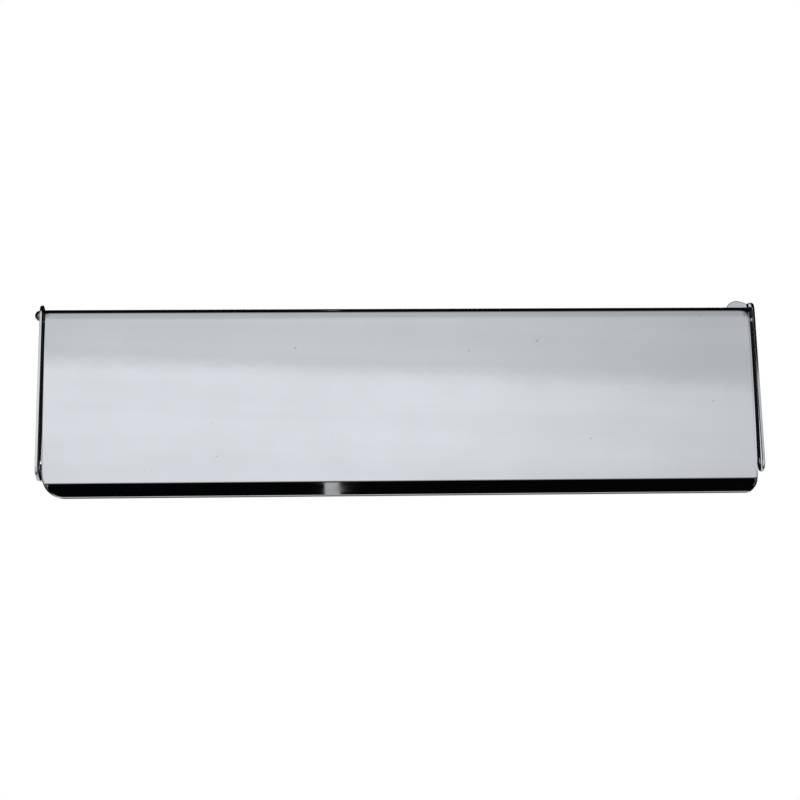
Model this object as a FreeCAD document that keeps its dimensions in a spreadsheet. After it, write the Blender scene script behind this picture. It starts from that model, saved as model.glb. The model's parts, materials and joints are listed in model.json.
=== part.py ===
"""Interior letter flap: a bowed, lipped flap that hangs on a rod between two side brackets.

The frame: +Z up, the front towards -Y, the door's inner face on the plane y = 0, and the origin
midway between the two fixing screws.  All sizes are in millimetres.
"""

import FreeCAD, Part

import math
import os

import Sketcher

DIMENSIONS = [
    # alias, value, what it is
    ("flap_width", 280.0, "length of the flap and of its rolled barrel"),
    ("sheet_thickness", 1.0, "thickness of the flap's sheet"),
    ("bow_radius", 600.0, "radius of the flap's gentle bow, measured on its front"),
    ("pivot_to_fold", 66.8, "drop from the rod's axis to the fold above the lip"),
    ("lip_length", 6.9, "straight part of the lip"),
    ("lip_bend_radius", 1.5, "radius on the front of the fold"),
    ("lip_lean", 33.6, "degrees that the lip leans forward of straight down"),
    ("roll_turn", 285.0, "degrees that the barrel is rolled round the rod"),
    ("left_corner_rise", 11.0, "height of the left lower corner"),
    ("left_corner_run", 10.0, "width of the left lower corner"),
    ("right_corner_rise", 9.0, "height of the right lower corner"),
    ("right_corner_run", 6.0, "width of the right lower corner"),
    ("rod_diameter", 2.4, "diameter of the hinge rod"),
    ("barrel_clearance", 0.08, "gap between the rod and the barrel, on radius"),
    ("rod_hole_diameter", 2.5, "hole for the rod in each bracket"),
    ("head_radius", 2.12, "radius of the rod's domed head"),
    ("head_collar", 0.2, "straight part under the dome"),
    ("rod_end_chamfer", 0.3, "chamfer on the rod's plain end"),
    ("pivot_forward", 4.25, "distance of the rod's axis in front of the door"),
    ("pivot_up", 30.5, "height of the rod's axis above the origin"),
    ("bracket_thickness", 1.2, "thickness of the bracket's sheet"),
    ("strip_width", 8.5, "depth of the bracket's side strip, from door to front"),
    ("bend_radius", 0.8, "inside radius of the bend between strip and lug"),
    ("lug_radius", 4.7, "radius of the screw lug's round end"),
    ("lug_inward", 4.2, "screw hole's distance inside the strip's inner face"),
    ("lug_up", 32.0, "height of the lug's round end above the bracket's middle"),
    ("screw_hole_up", 31.0, "screw hole's height, hidden behind the flap's barrel"),
    ("neck_half", 3.45, "half the height of the lug's neck, at the bend"),
    ("relief_width", 0.8, "height of the relief cut beside the bend"),
    ("relief_depth", 0.4, "how far the relief cut runs past the bend"),
    ("screw_hole_diameter", 4.0, "clearance hole for a number 6 screw"),
    ("countersink_depth", 0.75, "depth of the 90 degree countersink"),
    ("washer_diameter", 5.0, "outside diameter of the spacing washer"),
    ("washer_thickness", 0.5, "thickness of the spacing washer"),
    ("end_gap", 0.1, "free play between each washer and the flap's end"),
]

SIZE = {alias: value for alias, value, _ in DIMENSIONS}

ORIGIN = -1
X_AXIS = -1
START = 1
END = 2
CENTRE = 3
HALF_TURN = FreeCAD.Rotation(FreeCAD.Vector(0, 1, 0), 180)


def make_sheet(doc):
    """Write the driving dimensions into a spreadsheet, each cell with its alias."""
    sheet = doc.addObject("Spreadsheet::Sheet", "dimensions")
    for row, (alias, value, meaning) in enumerate(DIMENSIONS, start=1):
        sheet.set("A%d" % row, alias)
        sheet.set("B%d" % row, str(value))
        sheet.set("C%d" % row, meaning)
        sheet.setAlias("B%d" % row, alias)
    doc.recompute()
    return sheet


def bound(formula):
    """Turn a formula in plain aliases into one that names the sheet."""
    for alias in sorted(SIZE, key=len, reverse=True):
        formula = formula.replace("$" + alias, "dimensions." + alias)
    return formula


def new_body(doc, label):
    body = doc.addObject("PartDesign::Body", label)
    body.Label = label
    return body


def new_sketch(body, name, role):
    """Start a sketch on one of the body's own origin planes."""
    sketch = body.newObject("Sketcher::SketchObject", name)
    plane = [item for item in body.Origin.OriginFeatures if item.Role == role][0]
    sketch.AttachmentSupport = [(plane, "")]
    sketch.MapMode = "FlatFace"
    return sketch


def add_line(sketch, start, end):
    ends = [FreeCAD.Vector(*point, 0) for point in (start, end)]
    return sketch.addGeometry(Part.LineSegment(*ends), False)


def add_circle(sketch, centre, radius):
    circle = Part.Circle(FreeCAD.Vector(*centre, 0), FreeCAD.Vector(0, 0, 1), radius)
    return sketch.addGeometry(circle, False)


def add_arc(sketch, centre, radius, start, end):
    """Add an arc that runs anticlockwise from start to end, in degrees."""
    circle = Part.Circle(FreeCAD.Vector(*centre, 0), FreeCAD.Vector(0, 0, 1), radius)
    arc = Part.ArcOfCircle(circle, math.radians(start), math.radians(end))
    return sketch.addGeometry(arc, False)


def relate(sketch, kind, *elements):
    sketch.addConstraint(Sketcher.Constraint(kind, *elements))


def measure(sketch, name, kind, elements, value, formula):
    """Add a named size to the sketch and bind it to the sheet."""
    index = sketch.addConstraint(Sketcher.Constraint(kind, *elements, value))
    sketch.renameConstraint(index, name)
    sketch.setExpression("Constraints." + name, bound(formula))


def add_pad(body, sketch, name, formula, side="One side"):
    pad = body.newObject("PartDesign::Pad", name)
    pad.Profile = (sketch, [""])
    pad.SideType = side
    pad.setExpression("Length", bound(formula))
    return pad


def add_cut(body, sketch, name):
    """Cut the sketch right through the body, both ways."""
    cut = body.newObject("PartDesign::Pocket", name)
    cut.Profile = (sketch, [""])
    cut.Type = "ThroughAll"
    cut.SideType = "Symmetric"
    return cut


def place(body, x="0", y="0", z="0"):
    for axis, formula in (("x", x), ("y", y), ("z", z)):
        body.setExpression("Placement.Base." + axis, bound(formula))


def place_on_pivot(body, x="0"):
    place(body, x, "-$pivot_forward", "$pivot_up")


# ---------------------------------------------------------------- flap


def draw_flap_section(sketch):
    """Draw the flap's section about the rod's axis: barrel, bowed face, fold and lip."""
    inner = SIZE["rod_diameter"] / 2 + SIZE["barrel_clearance"]
    outer = inner + SIZE["sheet_thickness"]
    roll_end = 180 - SIZE["roll_turn"]
    barrel_out = add_arc(sketch, (0, 0), outer, roll_end, 180)
    barrel_in = add_arc(sketch, (0, 0), inner, roll_end, 180)
    out_end = (outer * math.cos(math.radians(roll_end)), outer * math.sin(math.radians(roll_end)))
    in_end = (inner * math.cos(math.radians(roll_end)), inner * math.sin(math.radians(roll_end)))
    barrel_tip = add_line(sketch, out_end, in_end)

    bow = SIZE["bow_radius"]
    bow_centre = (bow - outer, 0)
    lean = math.asin(SIZE["pivot_to_fold"] / bow)
    fold_angle = 180 + math.degrees(lean)
    front = add_arc(sketch, bow_centre, bow, 180, fold_angle)
    rear = add_arc(sketch, bow_centre, bow - SIZE["sheet_thickness"], 180, fold_angle)

    to_fold = bow + SIZE["lip_bend_radius"]
    bend_centre = (bow_centre[0] - to_fold * math.cos(lean), -to_fold * math.sin(lean))
    lip_normal = -SIZE["lip_lean"]
    bend_radii = (SIZE["lip_bend_radius"], SIZE["lip_bend_radius"] + SIZE["sheet_thickness"])
    bend_front, bend_rear = [
        add_arc(sketch, bend_centre, radius, lip_normal, math.degrees(lean)) for radius in bend_radii
    ]

    across = (math.cos(math.radians(lip_normal)), math.sin(math.radians(lip_normal)))
    along = (across[1] * SIZE["lip_length"], -across[0] * SIZE["lip_length"])
    roots = [(bend_centre[0] + r * across[0], bend_centre[1] + r * across[1]) for r in bend_radii]
    tips = [(root[0] + along[0], root[1] + along[1]) for root in roots]
    lip_front = add_line(sketch, roots[0], tips[0])
    lip_tip = add_line(sketch, tips[0], tips[1])
    lip_rear = add_line(sketch, roots[1], tips[1])

    relate(sketch, "Coincident", barrel_out, CENTRE, ORIGIN, START)
    relate(sketch, "Coincident", barrel_in, CENTRE, ORIGIN, START)
    relate(sketch, "Coincident", barrel_tip, START, barrel_out, START)
    relate(sketch, "Coincident", barrel_tip, END, barrel_in, START)
    relate(sketch, "PointOnObject", ORIGIN, START, barrel_tip)
    relate(sketch, "Tangent", barrel_out, END, front, START)
    relate(sketch, "Tangent", barrel_in, END, rear, START)
    relate(sketch, "Coincident", rear, CENTRE, front, CENTRE)
    relate(sketch, "PointOnObject", front, CENTRE, X_AXIS)
    relate(sketch, "Tangent", front, END, bend_front, END)
    relate(sketch, "Tangent", rear, END, bend_rear, END)
    relate(sketch, "Coincident", bend_rear, CENTRE, bend_front, CENTRE)
    relate(sketch, "Tangent", bend_front, START, lip_front, START)
    relate(sketch, "Tangent", bend_rear, START, lip_rear, START)
    relate(sketch, "Coincident", lip_tip, START, lip_front, END)
    relate(sketch, "Coincident", lip_tip, END, lip_rear, END)
    relate(sketch, "Perpendicular", lip_tip, lip_front)
    relate(sketch, "Parallel", lip_rear, lip_front)

    inner_formula = "$rod_diameter / 2 + $barrel_clearance"
    measure(sketch, "barrel_inside", "Radius", (barrel_in,), inner, inner_formula)
    measure(sketch, "barrel_outside", "Radius", (barrel_out,), outer,
            inner_formula + " + $sheet_thickness")
    measure(sketch, "roll_end", "Angle", (barrel_tip,), math.radians(360 - SIZE["roll_turn"]),
            "(360 - $roll_turn) * 1 deg")
    measure(sketch, "bow", "Radius", (front,), bow, "$bow_radius")
    measure(sketch, "drop", "DistanceY", (front, END, ORIGIN, START), SIZE["pivot_to_fold"],
            "$pivot_to_fold")
    measure(sketch, "fold", "Radius", (bend_front,), SIZE["lip_bend_radius"], "$lip_bend_radius")
    measure(sketch, "lip", "Distance", (lip_front,), SIZE["lip_length"], "$lip_length")
    measure(sketch, "lip_direction", "Angle", (lip_front,), math.radians(-90 - SIZE["lip_lean"]),
            "(-90 - $lip_lean) * 1 deg")


def lip_tip_drop():
    """Return how far the lip's lowest edge is below the rod's axis."""
    lean = math.asin(SIZE["pivot_to_fold"] / SIZE["bow_radius"])
    slant = math.radians(SIZE["lip_lean"])
    rear_radius = SIZE["lip_bend_radius"] + SIZE["sheet_thickness"]
    to_bend_centre = (SIZE["bow_radius"] + SIZE["lip_bend_radius"]) * math.sin(lean)
    return to_bend_centre + rear_radius * math.sin(slant) + SIZE["lip_length"] * math.cos(slant)


LIP_DROP_FORMULA = (
    "($bow_radius + $lip_bend_radius) * $pivot_to_fold / $bow_radius"
    " + ($lip_bend_radius + $sheet_thickness) * sin($lip_lean * 1 deg)"
    " + $lip_length * cos($lip_lean * 1 deg)"
)


def draw_corner_waste(sketch, side):
    """Draw what is cut off one lower corner: outside an arc that leaves the side edge smoothly."""
    spare = 2.0
    name = "left" if side < 0 else "right"
    edge = side * SIZE["flap_width"] / 2
    run = SIZE[name + "_corner_run"]
    rise = SIZE[name + "_corner_rise"]
    radius = (rise ** 2 + run ** 2) / (2 * run)
    bottom = -lip_tip_drop()
    top = bottom + rise
    swing = math.degrees(math.asin(rise / radius))
    angles = (180, 180 + swing) if side < 0 else (-swing, 0)
    edge_end, lip_end = (START, END) if side < 0 else (END, START)

    round_end = add_arc(sketch, (edge - side * radius, top), radius, *angles)
    lip_cut = add_line(sketch, (edge - side * run, bottom), (edge - side * run, bottom - spare))
    under = add_line(sketch, (edge - side * run, bottom - spare), (edge + side * spare, bottom - spare))
    outside = add_line(sketch, (edge + side * spare, bottom - spare), (edge + side * spare, top))
    over = add_line(sketch, (edge + side * spare, top), (edge, top))

    relate(sketch, "Coincident", lip_cut, START, round_end, lip_end)
    relate(sketch, "Coincident", under, START, lip_cut, END)
    relate(sketch, "Coincident", outside, START, under, END)
    relate(sketch, "Coincident", over, START, outside, END)
    relate(sketch, "Coincident", over, END, round_end, edge_end)
    relate(sketch, "Vertical", lip_cut)
    relate(sketch, "Horizontal", under)
    relate(sketch, "Vertical", outside)
    relate(sketch, "Horizontal", over)
    relate(sketch, "Horizontal", round_end, CENTRE, round_end, edge_end)

    inner_first = (round_end, edge_end, ORIGIN, START) if side < 0 else (ORIGIN, START, round_end, edge_end)
    run_points = (round_end, edge_end, round_end, lip_end)
    if side > 0:
        run_points = (round_end, lip_end, round_end, edge_end)
    spare_points = (over, START, over, END) if side < 0 else (over, END, over, START)
    measure(sketch, name + "_edge", "DistanceX", inner_first, abs(edge), "$flap_width / 2")
    measure(sketch, name + "_run", "DistanceX", run_points, run,
            "$" + name + "_corner_run")
    measure(sketch, name + "_rise", "DistanceY", (round_end, lip_end, round_end, edge_end), rise,
            "$" + name + "_corner_rise")
    measure(sketch, name + "_depth", "DistanceY", (round_end, lip_end, ORIGIN, START), -bottom,
            LIP_DROP_FORMULA)
    relate(sketch, "DistanceX", *spare_points, spare)
    relate(sketch, "DistanceY", lip_cut, END, lip_cut, START, spare)


def make_flap(doc):
    """The flap: one sheet, rolled round the rod at the top and folded to a lip below."""
    body = new_body(doc, "flap_plate")
    section = new_sketch(body, "flap_section", "YZ_Plane")
    draw_flap_section(section)
    add_pad(body, section, "flap_sheet", "$flap_width", "Symmetric")
    waste = new_sketch(body, "corner_waste", "XZ_Plane")
    draw_corner_waste(waste, -1)
    draw_corner_waste(waste, 1)
    add_cut(body, waste, "rounded_corners")
    place_on_pivot(body)
    return body


# ---------------------------------------------------------------- rod and washers


def make_rod(doc):
    """The rod: it pushes in from the left, up to its domed head."""
    body = new_body(doc, "hinge_rod")
    profile = new_sketch(body, "rod_profile", "XY_Plane")
    reach = SIZE["flap_width"] / 2 + SIZE["end_gap"] + SIZE["washer_thickness"] + SIZE["bracket_thickness"]
    rod = SIZE["rod_diameter"] / 2
    head = SIZE["head_radius"]
    collar = reach + SIZE["head_collar"]
    chamfer = SIZE["rod_end_chamfer"]

    dome = add_arc(profile, (-collar, 0), head, 90, 180)
    corners = [(-collar, head), (-reach, head), (-reach, rod), (reach - chamfer, rod),
               (reach, rod - chamfer), (reach, 0), (-collar - head, 0)]
    lines = [add_line(profile, start, end) for start, end in zip(corners, corners[1:])]
    side, shoulder, shank, bevel, tip, middle = lines

    relate(profile, "Coincident", side, START, dome, START)
    for first, second in zip(lines, lines[1:]):
        relate(profile, "Coincident", first, END, second, START)
    relate(profile, "Coincident", middle, END, dome, END)
    relate(profile, "PointOnObject", dome, CENTRE, X_AXIS)
    relate(profile, "PointOnObject", dome, END, X_AXIS)
    relate(profile, "Vertical", dome, START, dome, CENTRE)
    relate(profile, "Horizontal", side)
    relate(profile, "Vertical", shoulder)
    relate(profile, "Horizontal", shank)
    relate(profile, "Vertical", tip)
    relate(profile, "PointOnObject", tip, END, X_AXIS)

    reach_formula = "$flap_width / 2 + $end_gap + $washer_thickness + $bracket_thickness"
    measure(profile, "head", "Radius", (dome,), head, "$head_radius")
    measure(profile, "collar", "DistanceX", (side, START, side, END), SIZE["head_collar"], "$head_collar")
    measure(profile, "left_reach", "DistanceX", (shoulder, END, ORIGIN, START), reach, reach_formula)
    measure(profile, "right_reach", "DistanceX", (ORIGIN, START, tip, END), reach, reach_formula)
    measure(profile, "rod", "DistanceY", (ORIGIN, START, shank, START), rod, "$rod_diameter / 2")
    measure(profile, "bevel_x", "DistanceX", (bevel, START, bevel, END), chamfer, "$rod_end_chamfer")
    measure(profile, "bevel_y", "DistanceY", (bevel, END, bevel, START), chamfer, "$rod_end_chamfer")

    turned = body.newObject("PartDesign::Revolution", "turned_rod")
    turned.Profile = (profile, [""])
    turned.ReferenceAxis = (profile, ["H_Axis"])
    turned.Angle = 360
    place_on_pivot(body)
    return body


def make_washer(doc, label, x):
    """A spacing washer, between the flap's end and a bracket."""
    body = new_body(doc, label)
    ring = new_sketch(body, label + "_ring", "YZ_Plane")
    outside = add_circle(ring, (0, 0), SIZE["washer_diameter"] / 2)
    inside = add_circle(ring, (0, 0), SIZE["rod_hole_diameter"] / 2)
    relate(ring, "Coincident", outside, CENTRE, ORIGIN, START)
    relate(ring, "Coincident", inside, CENTRE, ORIGIN, START)
    measure(ring, "outside", "Diameter", (outside,), SIZE["washer_diameter"], "$washer_diameter")
    measure(ring, "inside", "Diameter", (inside,), SIZE["rod_hole_diameter"], "$rod_hole_diameter")
    add_pad(body, ring, label + "_disc", "$washer_thickness")
    place_on_pivot(body, x)
    return body


# ---------------------------------------------------------------- brackets


def draw_lug_bend(sketch):
    """Draw the lug and its bend, seen from above, with the strip's inner face at x = 0."""
    sheet = SIZE["bracket_thickness"]
    inner = SIZE["bend_radius"]
    outer = inner + sheet
    reach = -(SIZE["lug_inward"] + SIZE["lug_radius"])
    centre = (-inner, -outer)
    bend_out = add_arc(sketch, centre, outer, 0, 90)
    bend_in = add_arc(sketch, centre, inner, 0, 90)
    back = add_line(sketch, (-inner, 0), (reach, 0))
    lug_end = add_line(sketch, (reach, 0), (reach, -sheet))
    face = add_line(sketch, (reach, -sheet), (-inner, -sheet))
    root = add_line(sketch, (0, -outer), (sheet, -outer))

    relate(sketch, "Coincident", bend_in, CENTRE, bend_out, CENTRE)
    relate(sketch, "Tangent", bend_out, END, back, START)
    relate(sketch, "Coincident", lug_end, START, back, END)
    relate(sketch, "Coincident", face, START, lug_end, END)
    relate(sketch, "Tangent", face, END, bend_in, END)
    relate(sketch, "Coincident", root, START, bend_in, START)
    relate(sketch, "Coincident", root, END, bend_out, START)
    relate(sketch, "PointOnObject", back, START, X_AXIS)
    relate(sketch, "Horizontal", back)
    relate(sketch, "Vertical", lug_end)
    relate(sketch, "Horizontal", face)
    relate(sketch, "Horizontal", root)
    relate(sketch, "Horizontal", bend_in, CENTRE, root, START)
    relate(sketch, "Vertical", ORIGIN, START, bend_in, START)
    measure(sketch, "inside_bend", "Radius", (bend_in,), inner, "$bend_radius")
    measure(sketch, "sheet", "DistanceY", (lug_end, END, lug_end, START), sheet, "$bracket_thickness")
    measure(sketch, "reach", "DistanceX", (lug_end, START, ORIGIN, START), -reach,
            "$lug_inward + $lug_radius")


def tangent_angle(point, centre, radius):
    """Return where a line from the point touches the circle, on its far side anticlockwise."""
    across = point[0] - centre[0]
    up = point[1] - centre[1]
    aside = math.acos(radius / math.hypot(across, up))
    return math.degrees(math.atan2(up, across) + aside)


def draw_lug_waste(sketch):
    """Draw what is trimmed off the lug: a frame round its round end and sloping neck."""
    spare = 3.0
    radius = SIZE["lug_radius"]
    centre = (-SIZE["lug_inward"], SIZE["lug_up"])
    low, high = (SIZE["lug_up"] - SIZE["neck_half"], SIZE["lug_up"] + SIZE["neck_half"])
    touch = tangent_angle((0, high), centre, radius)
    round_end = add_arc(sketch, centre, radius, touch, 360 - touch)
    upper, lower = [
        (centre[0] + radius * math.cos(math.radians(angle)), centre[1] + radius * math.sin(math.radians(angle)))
        for angle in (touch, -touch)
    ]
    corners = [lower, (0, low), (spare, low), (spare, high), (0, high), upper]
    neck = [add_line(sketch, start, end) for start, end in zip(corners, corners[1:])]
    slope_low, under, side, over, slope_high = neck

    relate(sketch, "Tangent", slope_low, START, round_end, END)
    relate(sketch, "Tangent", slope_high, END, round_end, START)
    for first, second in zip(neck, neck[1:]):
        relate(sketch, "Coincident", first, END, second, START)
    relate(sketch, "Horizontal", under)
    relate(sketch, "Vertical", side)
    relate(sketch, "Horizontal", over)
    relate(sketch, "Vertical", under, START, ORIGIN, START)
    relate(sketch, "Vertical", over, END, ORIGIN, START)
    relate(sketch, "DistanceX", under, START, under, END, spare)
    measure(sketch, "round_end", "Radius", (round_end,), radius, "$lug_radius")
    measure(sketch, "inward", "DistanceX", (round_end, CENTRE, ORIGIN, START), -centre[0], "$lug_inward")
    measure(sketch, "up", "DistanceY", (ORIGIN, START, round_end, CENTRE), centre[1], "$lug_up")
    measure(sketch, "neck_low", "DistanceY", (under, START, round_end, CENTRE), SIZE["neck_half"],
            "$neck_half")
    measure(sketch, "neck_high", "DistanceY", (round_end, CENTRE, over, END), SIZE["neck_half"],
            "$neck_half")

    left, right = (centre[0] - radius - spare, 2 * spare)
    bottom, top = (centre[1] - radius - spare, centre[1] + radius + spare)
    outside = [(left, bottom), (right, bottom), (right, top), (left, top), (left, bottom)]
    frame = [add_line(sketch, start, end) for start, end in zip(outside, outside[1:])]
    for first, second in zip(frame, frame[1:] + frame[:1]):
        relate(sketch, "Coincident", first, END, second, START)
    for line, kind in zip(frame, ("Horizontal", "Vertical", "Horizontal", "Vertical")):
        relate(sketch, kind, line)
    relate(sketch, "DistanceX", frame[0], START, round_end, CENTRE, radius + spare)
    relate(sketch, "DistanceX", ORIGIN, START, frame[0], END, right)
    relate(sketch, "DistanceY", frame[0], START, round_end, CENTRE, radius + spare)
    relate(sketch, "DistanceY", round_end, CENTRE, frame[2], START, radius + spare)


def draw_strip(sketch):
    """Draw the side strip, seen from the right: two round ends, and a cut beside the lug's bend."""
    radius = SIZE["strip_width"] / 2
    up = SIZE["pivot_up"]
    bend = SIZE["bend_radius"] + SIZE["bracket_thickness"]
    cut = bend + SIZE["relief_depth"]
    low, high = (SIZE["lug_up"] - SIZE["neck_half"], SIZE["lug_up"] + SIZE["neck_half"])
    touch = tangent_angle((-bend, high), (-radius, up), radius)
    touch_point = (-radius + radius * math.cos(math.radians(touch)), up + radius * math.sin(math.radians(touch)))
    bottom_end = add_arc(sketch, (-radius, -up), radius, 180, 360)
    top_end = add_arc(sketch, (-radius, up), radius, touch, 180)
    corners = [(0, -up), (0, low - SIZE["relief_width"]), (-cut, low - SIZE["relief_width"]),
               (-cut, low), (-bend, low), (-bend, high), touch_point]
    lines = [add_line(sketch, start, end) for start, end in zip(corners, corners[1:])]
    back, relief_low, relief_end, relief_high, root, slope = lines
    front = add_line(sketch, (-2 * radius, up), (-2 * radius, -up))

    for first, second in zip(lines, lines[1:]):
        relate(sketch, "Coincident", first, END, second, START)
    relate(sketch, "Tangent", back, START, bottom_end, END)
    relate(sketch, "Tangent", slope, END, top_end, START)
    relate(sketch, "Tangent", front, START, top_end, END)
    relate(sketch, "Tangent", front, END, bottom_end, START)
    relate(sketch, "Vertical", back)
    relate(sketch, "Vertical", front)
    relate(sketch, "Horizontal", relief_low)
    relate(sketch, "Vertical", relief_end)
    relate(sketch, "Horizontal", relief_high)
    relate(sketch, "Vertical", root)
    relate(sketch, "Vertical", back, START, ORIGIN, START)
    relate(sketch, "Equal", top_end, bottom_end)
    measure(sketch, "end_round", "Radius", (bottom_end,), radius, "$strip_width / 2")
    measure(sketch, "lower_hole", "DistanceY", (bottom_end, CENTRE, ORIGIN, START), up, "$pivot_up")
    measure(sketch, "upper_hole", "DistanceY", (ORIGIN, START, top_end, CENTRE), up, "$pivot_up")
    measure(sketch, "relief", "DistanceY", (relief_end, START, relief_end, END), SIZE["relief_width"],
            "$relief_width")
    measure(sketch, "relief_past", "DistanceX", (relief_high, START, relief_high, END),
            SIZE["relief_depth"], "$relief_depth")
    measure(sketch, "bend_line", "DistanceX", (root, START, ORIGIN, START), bend,
            "$bend_radius + $bracket_thickness")
    measure(sketch, "neck_low", "DistanceY", (ORIGIN, START, root, START), low, "$lug_up - $neck_half")
    measure(sketch, "neck_high", "DistanceY", (ORIGIN, START, root, END), high, "$lug_up + $neck_half")


def draw_rod_holes(sketch):
    """Draw the rod's hole at each end of the strip: the bracket fits either way up."""
    forward = SIZE["strip_width"] / 2
    for name, up in (("upper", SIZE["pivot_up"]), ("lower", -SIZE["pivot_up"])):
        hole = add_circle(sketch, (-forward, up), SIZE["rod_hole_diameter"] / 2)
        points = (ORIGIN, START, hole, CENTRE) if up > 0 else (hole, CENTRE, ORIGIN, START)
        measure(sketch, name + "_size", "Diameter", (hole,), SIZE["rod_hole_diameter"],
                "$rod_hole_diameter")
        measure(sketch, name + "_forward", "DistanceX", (hole, CENTRE, ORIGIN, START), forward,
                "$strip_width / 2")
        measure(sketch, name + "_up", "DistanceY", points, abs(up), "$pivot_up")


def draw_screw_hole(sketch):
    hole = add_circle(sketch, (-SIZE["lug_inward"], SIZE["screw_hole_up"]), SIZE["screw_hole_diameter"] / 2)
    measure(sketch, "size", "Diameter", (hole,), SIZE["screw_hole_diameter"], "$screw_hole_diameter")
    measure(sketch, "inward", "DistanceX", (hole, CENTRE, ORIGIN, START), SIZE["lug_inward"],
            "$lug_inward")
    measure(sketch, "up", "DistanceY", (ORIGIN, START, hole, CENTRE), SIZE["screw_hole_up"],
            "$screw_hole_up")


def front_rim_of_hole(shape):
    """Return the name of the screw hole's edge on the lug's front."""
    radius = SIZE["screw_hole_diameter"] / 2
    for index, edge in enumerate(shape.Edges, start=1):
        on_front = abs(edge.BoundBox.Center.y + SIZE["bracket_thickness"]) < 0.01
        is_rim = isinstance(edge.Curve, Part.Circle) and abs(edge.Curve.Radius - radius) < 0.01
        if on_front and is_rim:
            return "Edge%d" % index
    raise RuntimeError("the screw hole has no front rim")


def make_bracket(doc, label):
    """A bracket: a side strip with one screw lug bent inwards from its back."""
    body = new_body(doc, label)
    bend = new_sketch(body, label + "_bend", "XY_Plane")
    bend.setExpression("AttachmentOffset.Base.z", bound("$lug_up"))
    draw_lug_bend(bend)
    add_pad(body, bend, label + "_lug", "2 * $lug_radius", "Symmetric")
    waste = new_sketch(body, label + "_waste", "XZ_Plane")
    draw_lug_waste(waste)
    add_cut(body, waste, label + "_trim")
    strip = new_sketch(body, label + "_outline", "YZ_Plane")
    draw_strip(strip)
    add_pad(body, strip, label + "_strip", "$bracket_thickness")
    rod_holes = new_sketch(body, label + "_rod_holes", "YZ_Plane")
    draw_rod_holes(rod_holes)
    add_cut(body, rod_holes, label + "_rod_bores")
    screw_hole = new_sketch(body, label + "_screw_hole", "XZ_Plane")
    draw_screw_hole(screw_hole)
    bore = add_cut(body, screw_hole, label + "_screw_bore")
    doc.recompute()
    countersink = body.newObject("PartDesign::Chamfer", label + "_countersink")
    countersink.Base = (bore, [front_rim_of_hole(bore.Shape)])
    countersink.setExpression("Size", bound("$countersink_depth"))
    return body


def make_brackets(doc):
    """The same pressing twice: as made on the right, and turned upside down on the left."""
    inner_face = "$flap_width / 2 + $end_gap + $washer_thickness"
    right = make_bracket(doc, "right_bracket")
    place(right, inner_face)
    left = make_bracket(doc, "left_bracket")
    left.Placement = FreeCAD.Placement(FreeCAD.Vector(0, 0, 0), HALF_TURN)
    place(left, "-(" + inner_face + ")")
    return [left, right]


# ---------------------------------------------------------------- checks and files


def check(doc, bodies):
    """Stop if any feature failed, any cut removed nothing, or any sub-part isn't one solid."""
    for item in doc.Objects:
        if "Invalid" in item.State or "Error" in item.State:
            raise RuntimeError("%s failed: %s" % (item.Label, item.State))
        if item.TypeId == "Sketcher::SketchObject" and not item.FullyConstrained:
            raise RuntimeError("%s is not fully constrained" % item.Label)
        if item.TypeId == "PartDesign::Pocket":
            removed = item.BaseFeature.Shape.Volume - item.Shape.Volume
            if removed < 0.1:
                raise RuntimeError("%s cuts nothing" % item.Label)
            print("%-32s removes %8.2f mm3" % (item.Label, removed))
    for body in bodies:
        shape = body.Shape
        if shape.isNull() or not shape.isValid() or len(shape.Solids) != 1:
            raise RuntimeError("%s is not one valid solid" % body.Label)
        box = shape.BoundBox
        print("%-14s x %8.2f %8.2f  y %6.2f %6.2f  z %7.2f %7.2f  volume %9.1f" % (
            body.Label, box.XMin, box.XMax, box.YMin, box.YMax, box.ZMin, box.ZMax, shape.Volume))


def main():
    doc = FreeCAD.newDocument("letter_flap")
    make_sheet(doc)
    bodies = [make_flap(doc), make_rod(doc)]
    bodies.append(make_washer(doc, "left_washer", "-($flap_width / 2 + $end_gap + $washer_thickness)"))
    bodies.append(make_washer(doc, "right_washer", "$flap_width / 2 + $end_gap"))
    bodies.extend(make_brackets(doc))
    doc.recompute()
    check(doc, bodies)
    os.makedirs("parts", exist_ok=True)
    for body in bodies:
        body.Shape.exportStep("parts/%s.step" % body.Label)


main()
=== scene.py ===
"""The looks of an interior letter flap: a polished chrome flap on a rod between two brackets.

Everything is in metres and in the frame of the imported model: +Z up, the front towards -Y.
"""

import json
import math

import bmesh
import bpy
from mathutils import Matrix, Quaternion, Vector, noise


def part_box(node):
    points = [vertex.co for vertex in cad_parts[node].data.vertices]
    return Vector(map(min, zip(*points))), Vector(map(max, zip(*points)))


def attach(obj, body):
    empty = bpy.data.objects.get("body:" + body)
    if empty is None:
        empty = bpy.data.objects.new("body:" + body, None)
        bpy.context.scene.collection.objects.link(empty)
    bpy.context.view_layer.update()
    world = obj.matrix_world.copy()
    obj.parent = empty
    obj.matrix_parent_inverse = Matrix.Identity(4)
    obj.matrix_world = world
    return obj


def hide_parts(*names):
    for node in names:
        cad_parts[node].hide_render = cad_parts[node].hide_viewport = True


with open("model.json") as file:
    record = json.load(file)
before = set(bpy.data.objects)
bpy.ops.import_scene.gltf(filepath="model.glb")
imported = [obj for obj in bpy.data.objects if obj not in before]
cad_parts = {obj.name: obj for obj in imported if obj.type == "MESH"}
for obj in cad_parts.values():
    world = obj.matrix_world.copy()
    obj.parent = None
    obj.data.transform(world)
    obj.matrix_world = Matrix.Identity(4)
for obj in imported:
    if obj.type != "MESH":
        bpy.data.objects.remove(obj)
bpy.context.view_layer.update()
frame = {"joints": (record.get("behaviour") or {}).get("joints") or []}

MM = 0.001
NOTHING = 1e-7
MERGE_WITHIN = 1e-6

# ---------------------------------------------------------------- sizes from the frame

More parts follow.
